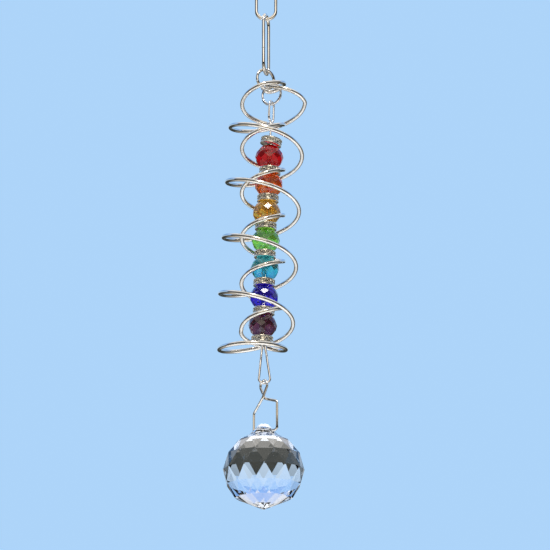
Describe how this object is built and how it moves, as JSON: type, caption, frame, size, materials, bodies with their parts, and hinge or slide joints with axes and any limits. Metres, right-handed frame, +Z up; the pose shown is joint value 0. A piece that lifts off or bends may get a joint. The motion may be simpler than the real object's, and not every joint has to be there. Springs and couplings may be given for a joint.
{
  "type": "crystal suncatcher",
  "caption": "Hanging suncatcher: a chain carries an endless steel spiral round a string of rainbow glass beads, with a faceted crystal ball on a wire pin below.",
  "frame": {"origin": "inside of the top chain link at its highest point, where the hook or ring that holds the suncatcher touches it", "axes": "+Z up along the hanging direction, +X to the right in the front view, with the face of the top link in the XZ plane, +Y away from the viewer"},
  "size_m": [0.0338, 0.03, 0.2161],
  "materials": {
    "polished_steel": "mirror polished stainless steel wire",
    "silver_wire": "bright silver-coloured plated wire",
    "spacer_metal": "bright plated metal set with small clear stones",
    "glass_red": "faceted transparent red glass",
    "glass_orange": "faceted transparent orange glass",
    "glass_amber": "faceted transparent amber glass",
    "glass_green": "faceted transparent green glass",
    "glass_aqua": "faceted transparent aqua glass",
    "glass_blue": "faceted transparent blue glass",
    "glass_plum": "faceted transparent plum glass",
    "clear_crystal": "clear cut crystal, polished facets"
  },
  "bodies": {
    "root": {"chain_link_top": "polished_steel", "chain_link_lower": "polished_steel", "steel_ring": "polished_steel", "spiral": "polished_steel", "bow_tie_pin": "polished_steel", "jump_ring": "silver_wire", "string_wire": "silver_wire", "spacer_1": "spacer_metal", "spacer_2": "spacer_metal", "spacer_3": "spacer_metal", "spacer_4": "spacer_metal", "spacer_5": "spacer_metal", "spacer_6": "spacer_metal", "spacer_7": "spacer_metal", "spacer_8": "spacer_metal", "bead_red": "glass_red", "bead_orange": "glass_orange", "bead_amber": "glass_amber", "bead_green": "glass_green", "bead_aqua": "glass_aqua", "bead_blue": "glass_blue", "bead_plum": "glass_plum", "crystal_ball": "clear_crystal"}
  },
  "joints": []
}
